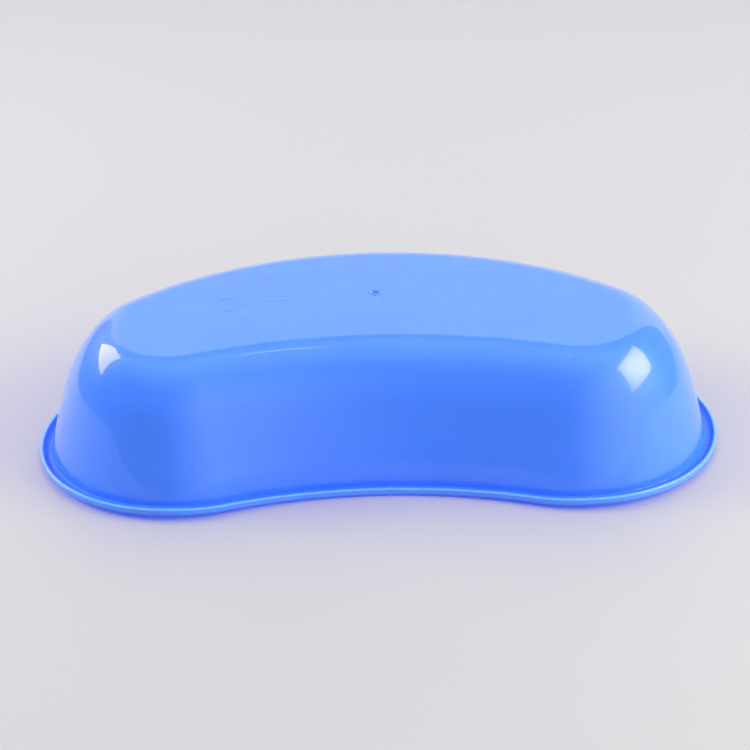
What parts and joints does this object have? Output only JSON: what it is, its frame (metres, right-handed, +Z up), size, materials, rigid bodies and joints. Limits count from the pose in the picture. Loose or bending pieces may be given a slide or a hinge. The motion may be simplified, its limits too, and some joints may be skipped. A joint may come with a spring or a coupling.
{
  "type": "kidney dish",
  "caption": "Shallow kidney-shaped hospital bowl in glossy blue plastic, upside down on its rim: flat base, drafted walls, outward rim with a turned lip.",
  "frame": {"origin": "centre of the overall footprint, on the plane of the rim that the upturned dish stands on", "axes": "+X along the dish, +Y from the hollowed front to the bulging back, +Z up through the base, away from the rim"},
  "size_m": [0.26, 0.1385, 0.0515],
  "materials": {
    "polypropylene": "gloss"
  },
  "bodies": {
    "root": {"dish_body": "polypropylene"}
  },
  "joints": []
}
